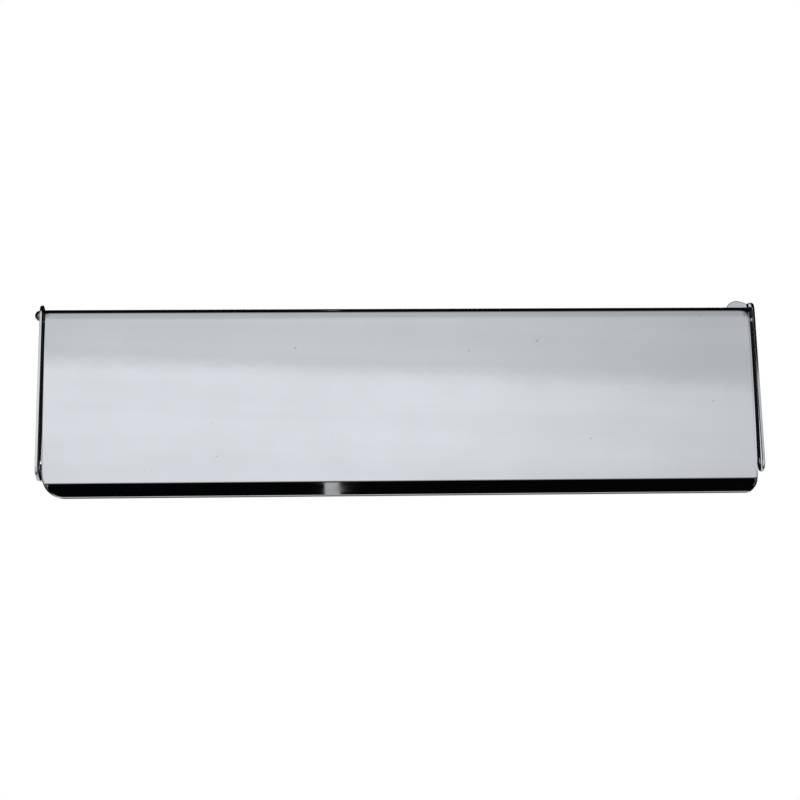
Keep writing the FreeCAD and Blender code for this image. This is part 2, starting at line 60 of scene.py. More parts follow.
FLAP_LOW, FLAP_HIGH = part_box("flap_plate")
ROD_LOW, ROD_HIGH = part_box("hinge_rod")
BRACKET_LOW, BRACKET_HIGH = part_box("right_bracket")
WASHER_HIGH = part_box("right_washer")[1]
PIVOT = Vector(frame["joints"][0]["pos_m"])

# sheet sizes that a box can't give
SHEET = 1.0 * MM
BOW_RADIUS = 600 * MM
PIVOT_TO_FOLD = 66.8 * MM
FOLD_RADIUS = 1.5 * MM
LIP_LEAN = math.radians(33.6)
LIP_LENGTH = 6.9 * MM
ROLL_TURN = math.radians(285)
BARREL_RADIUS = FLAP_HIGH.z - PIVOT.z
LEFT_CORNER_RISE = 11 * MM
LEFT_CORNER_RUN = 10 * MM
RIGHT_CORNER_RISE = 9 * MM
RIGHT_CORNER_RUN = 6 * MM
RIM = 0.22 * MM

BRACKET_SHEET = 1.2 * MM
BRACKET_BEND = 0.8 * MM
STRIP_WIDTH = BRACKET_HIGH.y - BRACKET_LOW.y
LUG_RADIUS = 4.7 * MM
LUG_INWARD = 4.2 * MM
LUG_UP = BRACKET_HIGH.z - LUG_RADIUS
NECK_HALF = 3.45 * MM
RELIEF_WIDTH = 0.8 * MM
RELIEF_DEPTH = 0.4 * MM
ROD_HOLE_RADIUS = 1.25 * MM
SCREW_HOLE_UP = 31 * MM
SCREW_HOLE_RADIUS = 2.0 * MM
COUNTERSINK_DEPTH = 0.75 * MM
BRACKET_RIM = 0.12 * MM
BRACKET_CHAMFER = 0.30 * MM
FLAT_BAND = 0.15 * MM
SHEAR_DRAFT = 0.27 * MM

ROD_RADIUS = 1.2 * MM
ROD_CHAMFER = 0.3 * MM
HEAD_RADIUS = (ROD_HIGH.z - ROD_LOW.z) / 2
HEAD_COLLAR = 0.2 * MM

FLOOR_LEVEL = -0.25


# ---------------------------------------------------------------- paths that sheet is bent along


class BendPath:
    """A path of straight runs and tangent arcs, which a flat blank is bent along.

    Each stretch is (length, turn): turn is in radians, positive to the left.
    """

    def __init__(self, start, heading, stretches):
        self.start = Vector(start)
        self.heading = heading
        self.stretches = stretches

    def length(self):
        return sum(length for length, _ in self.stretches)

    def at(self, distance):
        """Return the point and the leftward normal at a distance along the path."""
        point = self.start.copy()
        heading = self.heading
        last = len(self.stretches) - 1
        for index, (length, turn) in enumerate(self.stretches):
            step = distance if index == last else min(distance, length)
            swing = turn * step / length
            if abs(turn) < NOTHING:
                point += step * Vector((math.cos(heading), math.sin(heading)))
            else:
                radius = length / turn
                point += radius * Vector((
                    math.sin(heading + swing) - math.sin(heading),
                    math.cos(heading) - math.cos(heading + swing),
                ))
            heading += swing
            distance -= step
            if distance <= 0 and index < last:
                break
        return point, Vector((-math.sin(heading), math.cos(heading)))


# ---------------------------------------------------------------- mesh helpers


def new_piece(name, mesh_bm, body, node, material):
    """Turn a bmesh into a smooth piece that stands for a CAD node and moves with its body."""
    bmesh.ops.remove_doubles(mesh_bm, verts=mesh_bm.verts, dist=MERGE_WITHIN)
    bmesh.ops.recalc_face_normals(mesh_bm, faces=mesh_bm.faces)
    for face in mesh_bm.faces:
        face.smooth = True
    mesh = bpy.data.meshes.new(name)
    mesh_bm.to_mesh(mesh)
    mesh_bm.free()
    piece = bpy.data.objects.new(name, mesh)
    bpy.context.scene.collection.objects.link(piece)
    mesh.materials.append(material)
    weighted = piece.modifiers.new("even_shading", "WEIGHTED_NORMAL")
    weighted.mode = "FACE_AREA"
    weighted.weight = 60
    weighted.thresh = 0.0
    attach(piece, body)
    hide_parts(node)
    return piece


def add_ring(mesh_bm, points):
    return [mesh_bm.verts.new(point) for point in points]


def bridge(mesh_bm, first, second):
    """Join two closed rings of the same length with quads."""
    count = len(first)
    for index in range(count):
        after = (index + 1) % count
        mesh_bm.faces.new((first[index], first[after], second[after], second[index]))


def quarter(steps):
    """Return angles from 0 to 90 degrees."""
    return [math.pi / 2 * step / steps for step in range(steps + 1)]


def whole_turn(steps):
    """Return evenly spaced directions, as (cosine, sine), round a circle."""
    angles = [2 * math.pi * step / steps for step in range(steps)]
    return [(math.cos(angle), math.sin(angle)) for angle in angles]


def lathe(centre, profile, steps=96, closed=False):
    """Turn a profile of (x, radius) points about the line along X through the centre."""
    turned = bmesh.new()
    rings = []
    for x, radius in profile:
        if radius < NOTHING:
            rings.append([turned.verts.new((x, centre.y, centre.z))])
        else:
            rings.append(add_ring(turned, [
                (x, centre.y + radius * out, centre.z + radius * up)
                for out, up in whole_turn(steps)
            ]))
    pairs = list(zip(rings, rings[1:]))
    if closed:
        pairs.append((rings[-1], rings[0]))
    for first, second in pairs:
        if len(first) == 1 or len(second) == 1:
            tip, ring = (first[0], second) if len(first) == 1 else (second[0], first)
            for index in range(steps):
                turned.faces.new((tip, ring[index], ring[(index + 1) % steps]))
        else:
            bridge(turned, first, second)
    return turned


# ---------------------------------------------------------------- the flap


def flap_path():
    """The flap's front surface in section: round the barrel, down the bow, fold and lip."""
    lean = math.asin(PIVOT_TO_FOLD / BOW_RADIUS)
    fold_turn = lean + LIP_LEAN
    roll_start = math.pi - ROLL_TURN
    start = BARREL_RADIUS * Vector((math.cos(roll_start), math.sin(roll_start)))
    stretches = [
        (BARREL_RADIUS * ROLL_TURN, ROLL_TURN),
        (BOW_RADIUS * lean, lean),
        (FOLD_RADIUS * fold_turn, -fold_turn),
        (LIP_LENGTH, 0.0),
    ]
    return BendPath(start, roll_start + math.pi / 2, stretches)


def flap_rows(path):
    """Where the flap's cross rows lie along the path: closer together where it bends."""
    per_stretch = (56, 44, 10, 8)
    rows = []
    start = 0.0
    for (length, _), count in zip(path.stretches, per_stretch):
        rows += [start + length * step / count for step in range(count)]
        start += length
    rows.append(start)
    return rows


def side_inset(height, rise, run):
    """How far a rounded lower corner takes the flap's side in, at a height from the pivot.

    Returns that and the sine of how far the corner's edge has turned there.
    """
    bottom = FLAP_LOW.z - PIVOT.z
    below = bottom + rise - height
    if below <= 0:
        return 0.0, 0.0
    radius = (rise ** 2 + run ** 2) / (2 * run)
    return radius - math.sqrt(max(radius ** 2 - below ** 2, 0.0)), below / radius


def side_places(height):
    """Return each side's place at a height from the pivot, and the sines of their turns."""
    left, left_turn = side_inset(height, LEFT_CORNER_RISE, LEFT_CORNER_RUN)
    right, right_turn = side_inset(height, RIGHT_CORNER_RISE, RIGHT_CORNER_RUN)
    return FLAP_LOW.x + left, left_turn, FLAP_HIGH.x - right, right_turn


def soft_step(value):
    """Go smoothly from 0 to 1."""
    value = min(max(value, 0.0), 1.0)
    return value * value * (3 - 2 * value)


def edge_wear(x):
    """The thin band along each side where polishing has dubbed the face over."""
    deep, wide = 0.05 * MM, 1.1 * MM
    from_side = min(x - FLAP_LOW.x, FLAP_HIGH.x - x)
    return deep * max(0.0, 1 - from_side / wide) ** 2


def curl_depth(down):
    """How far the sheet has begun to curl back where the bow meets the barrel."""
    begins = 2.6 * MM
    gone_above = 3.3 * MM
    curl = 0.09 * MM
    if down > 0:
        return curl * max(0.0, 1 - down / begins) ** 2
    up = -down
    return curl * (1 + 2 * up / begins) * (1 - soft_step(up / gone_above))


def corner_depth(x, down):
    """How far the barrel's two ends are rounded off: the right one more."""
    above = 1.2 * MM
    if down < -2.5 * above:
        return 0.0
    right = x > 0
    deep, wide = (0.40 * MM, 3.9 * MM) if right else (0.25 * MM, 2.4 * MM)
    from_side = FLAP_HIGH.x - x if right else x - FLAP_LOW.x
    away = math.hypot(max(from_side, 0.0), max(down + above, 0.0))
    return deep * max(0.0, 1 - away / wide) ** 2


def waviness(x, down, bow):
    """The faint unevenness that bending and polishing leave in the bow."""
    if not 0 < down < bow:
        return 0.0
    deep = 0.028 * MM
    fade = soft_step(down / (6 * MM)) * soft_step((bow - down) / (5 * MM))
    return deep * fade * noise.noise(Vector((x * 16, down * 24, 3.1)))


def corner_bevel(x, height):
    """The bevel that grinding has left along both rounded lower corners."""
    deep, wide = 0.34 * MM, 0.65 * MM
    full_at_turn = 0.25
    low, left_turn, high, right_turn = side_places(height)
    sideways, turn = (high - x, right_turn) if x > 0 else (x - low, left_turn)
    away = max(sideways, 0.0) * math.sqrt(1 - min(turn, 0.99) ** 2)
    return deep * soft_step(turn / full_at_turn) * max(0.0, 1 - away / wide) ** 1.2


def polish_depth(x, height, along, path):
    """How much lower than the true path the front surface lies."""
    down = along - path.stretches[0][0]
    bow = path.stretches[1][0]
    worn = edge_wear(x) + corner_bevel(x, height)
    return worn + curl_depth(down) + corner_depth(x, down) + waviness(x, down, bow)


def flap_columns():
    """Where the flap's columns lie, as shares of its width: closer together at both sides."""
    width = FLAP_HIGH.x - FLAP_LOW.x
    side = [step * MM / width for step in (0.0, 0.15, 0.35, 0.6, 0.9, 1.3, 1.8, 2.4, 3.1)]
    inner = 150
    span = 1 - 2 * side[-1]
    middle = [side[-1] + span * step / inner for step in range(1, inner)]
    return side + middle + [1 - share for share in reversed(side)]


def flap_section(shares, inset):
    """Return a cross row's loop of (share, swell, depth) with rounded edges.

    The share runs from 0 at the left edge to 1 at the right, and the swell is how far
    beyond its share, in rounding radii, a point stands.
    """
    near, far = inset, SHEET - inset
    round_by = max(RIM - inset, 0.02 * MM)
    turn = [(math.sin(angle), round_by * (1 - math.cos(angle))) for angle in quarter(4)]
    front = [(share, 0.0, near) for share in shares]
    right = [(1.0, swell, near + drop) for swell, drop in turn[1:]]
    right += [(1.0, swell, far - drop) for swell, drop in reversed(turn[1:])]
    left = [(0.0, -swell, depth) for _, swell, depth in reversed(right)]
    back = [(share, 0.0, far) for share, _, _ in reversed(front)]
    return front + right + back + left


def build_flap(material):
    """The flap as one bent sheet, with its edges rounded by polishing."""
    path = flap_path()
    total = path.length()
    shares = flap_columns()
    start_rows = [(RIM * (1 - math.cos(angle)), RIM * (1 - math.sin(angle))) for angle in quarter(4)]
    middle = [(along, 0.0) for along in flap_rows(path) if RIM < along < total - RIM]
    end_rows = [(total - along, inset) for along, inset in reversed(start_rows)]
    flap = bmesh.new()
    rings = []
    for along, inset in start_rows + middle + end_rows:
        front, inward = path.at(along)
        round_by = max(RIM - inset, 0.02 * MM)
        ring = []
        for share, swell, depth in flap_section(shares, inset):
            height = (front + inward * depth).y
            left, _, right, _ = side_places(height)
            low = left + inset + round_by
            high = right - inset - round_by
            x = low + (high - low) * share + swell * round_by
            sunk = depth
            if depth < SHEET / 2:
                sunk = min(depth + polish_depth(x, height, along, path), SHEET / 2)
            place = front + inward * sunk
            ring.append((x, PIVOT.y + place.x, PIVOT.z + place.y))
        rings.append(add_ring(flap, ring))
    for first, second in zip(rings, rings[1:]):
        bridge(flap, first, second)
    for ring in (rings[0], rings[-1]):
        close_end(flap, ring, len(shares) - 1)
    return new_piece("polished_flap", flap, "flap", "flap_plate", material)


def close_end(flap, ring, columns):
    """Close an end row: quads between its front and back, and a fan at each side."""
    count = len(ring)
    side = (count - 2 * (columns + 1)) // 2
    front = ring[:columns + 1]
    back = ring[columns + 1 + side:2 * (columns + 1) + side]
    back = back[::-1]
    for index in range(columns):
        flap.faces.new((front[index], front[index + 1], back[index + 1], back[index]))
    right = ring[columns:columns + 2 + side]
    left = ring[2 * columns + 1 + side:] + [ring[0]]
    for verts in (right, left):
        flap.faces.new(verts)


# ---------------------------------------------------------------- rod and washers


def rod_profile():
    """The rod's (x, radius) profile: domed head, shoulder, shank and chamfered right end."""
    reach = BRACKET_HIGH.x
    dome_start = -reach - HEAD_COLLAR
    edge = 0.08 * MM
    nick = 0.3 * edge
    dome = [(dome_start - HEAD_RADIUS * math.cos(angle), HEAD_RADIUS * math.sin(angle))
            for angle in quarter(20)]
    shoulder = [
        (-reach - edge, HEAD_RADIUS),
        (-reach - nick, HEAD_RADIUS - nick),
        (-reach, HEAD_RADIUS - edge),
        (-reach, ROD_RADIUS + edge),
        (-reach + nick, ROD_RADIUS + nick),
        (-reach + edge, ROD_RADIUS),
    ]
    spans = 24
    shank_length = 2 * reach - ROD_CHAMFER - edge
    shank = [(-reach + edge + shank_length * step / spans, ROD_RADIUS)
             for step in range(1, spans + 1)]
    flat_end = ROD_RADIUS - ROD_CHAMFER
    end = [
        (reach - edge, flat_end + 0.06 * MM),
        (reach, flat_end - 0.05 * MM),
        (reach, 0.0),
    ]
    return dome + shoulder + shank + end


def build_rod(material):
    """The rod, with the domed head it is pushed home by."""
    rod = lathe(PIVOT, rod_profile())
    return new_piece("turned_rod", rod, "frame", "hinge_rod", material)


def build_washer(name, node, material):
    """A spacing washer, tumbled so that its edges are soft."""
    low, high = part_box(node)
    outer = (high.z - low.z) / 2
    inner = ROD_HOLE_RADIUS
    soft = 0.12 * MM
    corner = [(soft * (1 - math.cos(angle)), soft * (1 - math.sin(angle)))
              for angle in quarter(4)]
    rim = [(low.x + along, outer - drop) for along, drop in corner]
    rim += [(high.x - along, outer - drop) for along, drop in reversed(corner)]
    bore = [(high.x - along, inner + drop) for along, drop in corner]
    bore += [(low.x + along, inner + drop) for along, drop in reversed(corner)]
    washer = lathe(PIVOT, rim + bore, steps=72, closed=True)
    return new_piece(name, washer, "frame", node, material)


# ---------------------------------------------------------------- brackets


def arc(centre, radius, start, end, step=math.radians(6)):
    """Return points along an arc, both ends included; angles are in radians."""
    count = max(2, math.ceil(abs(end - start) / step))
    angles = [start + (end - start) * index / count for index in range(count + 1)]
    return [Vector((centre[0] + radius * math.cos(angle), centre[1] + radius * math.sin(angle)))
            for angle in angles]


def tangent_angle(point, centre, radius):
    """Return the angle at which a line from the point touches the circle, anticlockwise of it."""
    across = point[0] - centre[0]
    up = point[1] - centre[1]
    return math.atan2(up, across) + math.acos(radius / math.hypot(across, up))


def bracket_blank():
    """The bracket's flat blank, (along, height): a strip with a lug, anticlockwise.

    Returns the outline, the rod's holes, the screw's hole, and where the bend starts with its
    outer radius.
    """
    end = STRIP_WIDTH / 2
    up = PIVOT.z
    outer_bend = BRACKET_BEND + BRACKET_SHEET
    bend = STRIP_WIDTH - outer_bend
    bend_end = bend + outer_bend * math.pi / 2
    lug = (bend_end + LUG_INWARD - BRACKET_BEND, LUG_UP)
    low, high = LUG_UP - NECK_HALF, LUG_UP + NECK_HALF
    neck = bend + outer_bend * math.acos(BRACKET_BEND / outer_bend)
    touch = math.pi - tangent_angle((2 * lug[0] - neck, high), lug, LUG_RADIUS)
    top = tangent_angle((bend, high), (end, up), end)
    cut = bend - RELIEF_DEPTH
    outline = arc((end, -up), end, math.pi, 2 * math.pi)
    outline += [Vector(point) for point in (
        (STRIP_WIDTH, low - RELIEF_WIDTH),
        (cut, low - RELIEF_WIDTH),
        (cut, low),
        (bend, low),
        (neck, low),
    )]
    outline += arc(lug, LUG_RADIUS, -touch, touch)
    outline += [Vector((neck, high)), Vector((bend, high))]
    outline += arc((end, up), end, top, math.pi)
    rod_holes = [((end, up), ROD_HOLE_RADIUS), ((end, -up), ROD_HOLE_RADIUS)]
    screw_hole = ((lug[0], SCREW_HOLE_UP), SCREW_HOLE_RADIUS)
    return outline, rod_holes, screw_hole, (bend, outer_bend)


def offset_loop(loop, inset):
    """Move a closed anticlockwise loop inwards."""
    sharpest = 0.35
    moved = []
    count = len(loop)
    for index, point in enumerate(loop):
        before = (point - loop[index - 1]).normalized()
        after = (loop[(index + 1) % count] - point).normalized()
        inward = Vector((-before.y - after.y, before.x + after.x))
        inward.normalize()
        lean = max(inward.dot(Vector((-after.y, after.x))), sharpest)
        moved.append(point + inward * inset / lean)
    return moved


def rounded_edge(rim):
    """Return (inset, depth) steps over one rounded edge, from the sheet's face to its wall."""
    band = (rim + FLAT_BAND, 0.0)
    return [band] + [(rim * (1 - math.sin(angle)), rim * (1 - math.cos(angle)))
                     for angle in quarter(4)]


def hole_wall():
    """Return (inset, depth) steps through the sheet for a plain hole."""
    near = rounded_edge(BRACKET_RIM)
    return near + [(inset, BRACKET_SHEET - depth) for inset, depth in reversed(near)]


def countersunk_wall():
    """Return (inset, depth) steps for the screw hole, which flares towards the far side."""
    rim = 0.08 * MM
    land = BRACKET_SHEET - COUNTERSINK_DEPTH
    flare = [(0.0, land), (COUNTERSINK_DEPTH - rim, BRACKET_SHEET - rim)]
    face = [(COUNTERSINK_DEPTH + rim * 0.6, BRACKET_SHEET),
            (COUNTERSINK_DEPTH + FLAT_BAND, BRACKET_SHEET)]
    return rounded_edge(rim) + flare + face


def outline_wall():
    """Return (inset, depth) steps round the blank.

    The wall leans, its outer edge is rolled over and its inner edge is chamfered.
    """
    soft = 0.02 * MM
    chamfer = BRACKET_CHAMFER
    far = [
        (0.0, chamfer + soft),
        (soft, chamfer - soft),
        (chamfer - soft, soft),
        (chamfer + soft, 0.0),
        (chamfer + FLAT_BAND, 0.0),
    ]
    steps = rounded_edge(BRACKET_RIM) + [(inset, BRACKET_SHEET - depth) for inset, depth in far]
    return [(inset + SHEAR_DRAFT * (1 - depth / BRACKET_SHEET), depth) for inset, depth in steps]


def press_sheet(outline, holes):
    """Make a flat blank with thickness from an outline and holes, each with its own wall steps."""
    blank = bmesh.new()
    near_edges, far_edges = [], []
    for loop, wall in [(outline, outline_wall())] + holes:
        rings = [
            add_ring(blank, [(point.x, point.y, depth) for point in offset_loop(loop, inset)])
            for inset, depth in wall
        ]
        for first, second in zip(rings, rings[1:]):
            bridge(blank, first, second)
        for ring, edges in ((rings[0], near_edges), (rings[-1], far_edges)):
            edges += [blank.edges.get(pair) for pair in zip(ring, ring[1:] + ring[:1])]
    for edges in (near_edges, far_edges):
        bmesh.ops.triangle_fill(blank, edges=edges, use_beauty=True, use_dissolve=False)
    return blank


def cut_across(blank, places):
    """Cut the blank across at each place along it, so that it can bend there."""
    for place in places:
        geometry = blank.verts[:] + blank.edges[:] + blank.faces[:]
        bmesh.ops.bisect_plane(blank, geom=geometry, plane_co=(place, 0, 0), plane_no=(1, 0, 0),
                               dist=NOTHING)


def bracket_bmesh():
    """The pressed bracket, with its strip's inner face at x = 0 and its lug bent inwards."""
    outline, rod_holes, screw_hole, (bend, outer_bend) = bracket_blank()
    fine_step = math.radians(7.5)
    holes = [(arc(centre, radius, 2 * math.pi, 0.0, fine_step)[:-1], hole_wall())
             for centre, radius in rod_holes]
    holes.append((arc(*screw_hole, 2 * math.pi, 0.0)[:-1], countersunk_wall()))
    blank = press_sheet(outline, holes)
    bend_steps = 14
    bend_length = outer_bend * math.pi / 2
    margin = 0.15 * MM
    bend_cuts = [bend + bend_length * step / bend_steps for step in range(bend_steps + 1)]
    cut_across(blank, [bend - margin] + bend_cuts + [bend + bend_length + margin])
    front_edge = (BRACKET_SHEET, -STRIP_WIDTH)
    backward = math.pi / 2
    straight = (10 * MM, 0.0)
    path = BendPath(front_edge, backward, [(bend, 0.0), (bend_length, math.pi / 2), straight])
    flat = BendPath(front_edge, backward, [straight])
    relief = LUG_UP - NECK_HALF - RELIEF_WIDTH / 2
    for vert in blank.verts:
        along, height, depth = vert.co
        in_lug = height > relief or along > STRIP_WIDTH + RELIEF_WIDTH / 4
        point, inward = (path if in_lug else flat).at(along)
        place = point + inward * depth
        vert.co = (place.x, place.y, height)
    return blank


def build_bracket(side, material):
    """One bracket: the right one as pressed, the left one turned upside down."""
    inner_face = WASHER_HIGH.x
    bracket = bracket_bmesh()
    for vert in bracket.verts:
        vert.co = (side * (inner_face + vert.co.x), vert.co.y, side * vert.co.z)
    name = "right" if side > 0 else "left"
    return new_piece(name + "_pressing", bracket, "frame", name + "_bracket", material)


# ---------------------------------------------------------------- materials


class Nodes:
    """A short way to add and join shader nodes."""

    def __init__(self, tree):
        self.tree = tree
        tree.nodes.clear()

    def add(self, kind, **settings):
        node = self.tree.nodes.new(kind)
        inputs = settings.pop("inputs", {})
        for key, value in settings.items():
            setattr(node, key, value)
        for key, value in inputs.items():
            if isinstance(value, bpy.types.NodeSocket):
                self.tree.links.new(value, node.inputs[key])
            else:
                node.inputs[key].default_value = value
        return node

    def maths(self, operation, first, second=0.0):
        node = self.add("ShaderNodeMath", operation=operation, inputs={0: first, 1: second})
        return node.outputs[0]

    def distance(self, value, place):
        return self.maths("ABSOLUTE", self.maths("SUBTRACT", value, place))

    def fade(self, light, value, low, high, to_low, to_high):
        """Scale a light by a share that goes smoothly with a value."""
        return self.maths("MULTIPLY", light, self.remap(value, low, high, to_low, to_high))

    def dim(self, light, shade):
        """Take a share of a light away."""
        return self.maths("MULTIPLY", light, self.maths("SUBTRACT", 1.0, shade))

    def remap(self, value, low, high, to_low, to_high, smooth=True):
        kind = "SMOOTHSTEP" if smooth else "LINEAR"
        node = self.add("ShaderNodeMapRange", interpolation_type=kind, inputs={
            "Value": value, "From Min": low, "From Max": high, "To Min": to_low, "To Max": to_high})
        return node.outputs["Result"]

    def noise(self, vector, scale, detail=2.0, roughness=0.5):
        node = self.add("ShaderNodeTexNoise", inputs={
            "Vector": vector, "Scale": scale, "Detail": detail, "Roughness": roughness})
        return node.outputs["Fac"]

    def stretched(self, vector, scale):
        node = self.add("ShaderNodeMapping", inputs={"Vector": vector, "Scale": scale})
        return node.outputs["Vector"]


def pit_mask(nodes, place, pits):
    """Return 1 in the few small pits and 0 elsewhere, on faces that look along X or Y."""
    cells_per_metre, greatest, _ = pits
    axes = nodes.add("ShaderNodeSeparateXYZ", inputs={"Vector": place}).outputs
    across = nodes.maths("ADD", axes["X"], axes["Y"])
    unrolled = nodes.add("ShaderNodeCombineXYZ", inputs={"X": across, "Y": axes["Z"]})
    cells = nodes.add("ShaderNodeTexVoronoi", voronoi_dimensions="2D", inputs={
        "Vector": unrolled.outputs["Vector"], "Scale": cells_per_metre})
    chosen = nodes.add("ShaderNodeSeparateColor", inputs={"Color": cells.outputs["Color"]})
    size = nodes.remap(chosen.outputs[0], 0.4, 1.0, 0.0, greatest, smooth=False)
    never_zero = nodes.maths("ADD", size, 1e-4)
    share = nodes.maths("DIVIDE", cells.outputs["Distance"], never_zero)
    return nodes.remap(share, 0.4, 1.0, 1.0, 0.0)


def metal(name, colour, roughness, haze, grain, pits):
    """A polished metal: haze in its shine, fine polishing grain, and a few small pits.

    Scales are per metre, because the textures follow the object's own coordinates. The
    pits are (cells per metre, greatest size in cells, how dark).
    """
    material = bpy.data.materials.new(name)
    material.use_nodes = True
    nodes = Nodes(material.node_tree)
    place = nodes.add("ShaderNodeTexCoord").outputs["Object"]

    smear = nodes.noise(nodes.stretched(place, (60, 60, 160)), 1.0, 3.0, 0.55)
    lines = nodes.noise(nodes.stretched(place, grain), 1.0, 2.0, 0.6)
    hazy = nodes.remap(smear, 0.35, 0.75, roughness, roughness + haze)
    shine = nodes.maths("ADD", hazy, nodes.remap(lines, 0.4, 0.8, 0.0, haze * 0.6))

    pit = pit_mask(nodes, place, pits)
    darkness = pits[-1]
    tone = nodes.remap(nodes.noise(place, 45.0, 3.0), 0.3, 0.7, 0.97, 1.0)
    pitted = nodes.remap(pit, 0.0, 1.0, 1.0, 1 - darkness, smooth=False)
    shade = nodes.maths("MULTIPLY", tone, pitted)
    tint = nodes.add("ShaderNodeMix", data_type="RGBA", blend_type="MULTIPLY",
                     inputs={"Factor": 1.0})
    tint.inputs["A"].default_value = (*colour, 1)
    nodes.tree.links.new(shade, tint.inputs["B"])

    relief = nodes.maths("SUBTRACT", nodes.maths("MULTIPLY", lines, 0.25), pit)
    bump = nodes.add("ShaderNodeBump", inputs={
        "Height": relief, "Strength": 0.12, "Distance": 0.03 * MM})
    surface = nodes.add("ShaderNodeBsdfPrincipled", inputs={
        "Base Color": tint.outputs["Result"], "Metallic": 1.0, "Roughness": shine,
        "Normal": bump.outputs["Normal"]})
    nodes.add("ShaderNodeOutputMaterial", inputs={"Surface": surface.outputs["BSDF"]})
    return material


def plain_surface(name, colour):
    """The floor's matt paint, with a faint mottle."""
    material = bpy.data.materials.new(name)
    material.use_nodes = True
    nodes = Nodes(material.node_tree)
    place = nodes.add("ShaderNodeTexCoord").outputs["Object"]
    tone = nodes.remap(nodes.noise(place, 3.0), 0.3, 0.7, colour * 0.98, colour)
    paint = nodes.add("ShaderNodeCombineColor", inputs={0: tone, 1: tone, 2: tone})
    surface = nodes.add("ShaderNodeBsdfPrincipled", inputs={
        "Base Color": paint.outputs[0], "Roughness": 0.9})
    nodes.add("ShaderNodeOutputMaterial", inputs={"Surface": surface.outputs["BSDF"]})
    return material


# ---------------------------------------------------------------- studio


def set_camera():
    """Put the camera a little left of the flap and below it, as it was photographed."""
    azimuth = math.radians(-2.92)
    elevation = math.radians(-14.47)
    roll = math.radians(-1.10)
    distance = 0.7183
    aim = Vector((-0.0007, -0.0040, -0.0046))
    level = math.cos(elevation)
    outward = Vector((
        math.sin(azimuth) * level,
        -math.cos(azimuth) * level,
        math.sin(elevation),
    ))
    data = bpy.data.cameras.new("camera")
    data.sensor_width = 36.0
    data.lens = 82.15
    data.clip_start = 0.01
    camera = bpy.data.objects.new("camera", data)
    camera.location = aim + outward * distance
    camera.rotation_mode = "QUATERNION"
    camera.rotation_quaternion = outward.to_track_quat("Z", "Y") @ Quaternion((0, 0, 1), roll)
    bpy.context.scene.collection.objects.link(camera)
    bpy.context.scene.camera = camera


def wall_light(nodes, height, aside):
    """The lit wall in front: two soft bands, the upper one dimmer, and black above them.

    A direction is given by its degrees above the horizon and to the right of the front.
    """
    # the border between the two bands slopes a little
    slanted = nodes.maths("ADD", height, nodes.maths("MULTIPLY", aside, 0.14))
    wall = nodes.remap(slanted, 9.6, 12.4, 0.83, 0.665)
    wall = nodes.fade(wall, height, 17.5, 26.0, 1.0, 0.62)
    wall = nodes.fade(wall, height, 27.0, 52.0, 1.0, 0.0)
    wall = nodes.fade(wall, height, -6.0, 3.0, 0.86, 1.0)

    # at its left end it fades a little above and below its middle
    from_middle = nodes.distance(height, 7.5)
    fading = nodes.remap(from_middle, 2.5, 5.0, 0.0, 0.07)
    wall = nodes.dim(wall, nodes.fade(fading, aside, -10.0, -5.0, 1.0, 0.0))

    # it fades to the right and far out on both sides, and it has a dim gap
    wall = nodes.fade(wall, aside, 2.0, 18.0, 1.0, 0.75)
    wall = nodes.fade(wall, nodes.distance(aside, 0.0), 40.0, 56.0, 1.0, 0.02)
    wall = nodes.fade(wall, nodes.distance(aside, 23.0), 3.0, 9.0, 0.76, 1.0)

    # it is faintly uneven, in long low streaks
    streak_place = nodes.add("ShaderNodeCombineXYZ", inputs={
        "X": nodes.maths("MULTIPLY", aside, 0.05), "Y": nodes.maths("MULTIPLY", slanted, 0.36)})
    streaks = nodes.noise(streak_place.outputs["Vector"], 1.0, 2.0, 0.5)
    wall = nodes.fade(wall, streaks, 0.32, 0.68, 0.975, 1.02)

    # a black flag stands high on the right
    flag = nodes.remap(aside, 18.0, 25.0, 0.0, 0.99)
    return nodes.dim(wall, nodes.fade(flag, height, 14.5, 15.2, 0.0, 1.0))


def table_light(nodes, height, aside):
    """A table, pale in front and behind, dark at both sides and grey straight below.

    Above it is black.
    """
    from_side = nodes.distance(nodes.distance(aside, 0.0), 88.0)
    table = nodes.remap(from_side, 22.0, 44.0, 0.08, 0.50)
    table = nodes.fade(table, height, -4.0, 6.0, 1.0, 0.01)
    return nodes.fade(table, height, -75.0, -50.0, 0.32, 1.0)


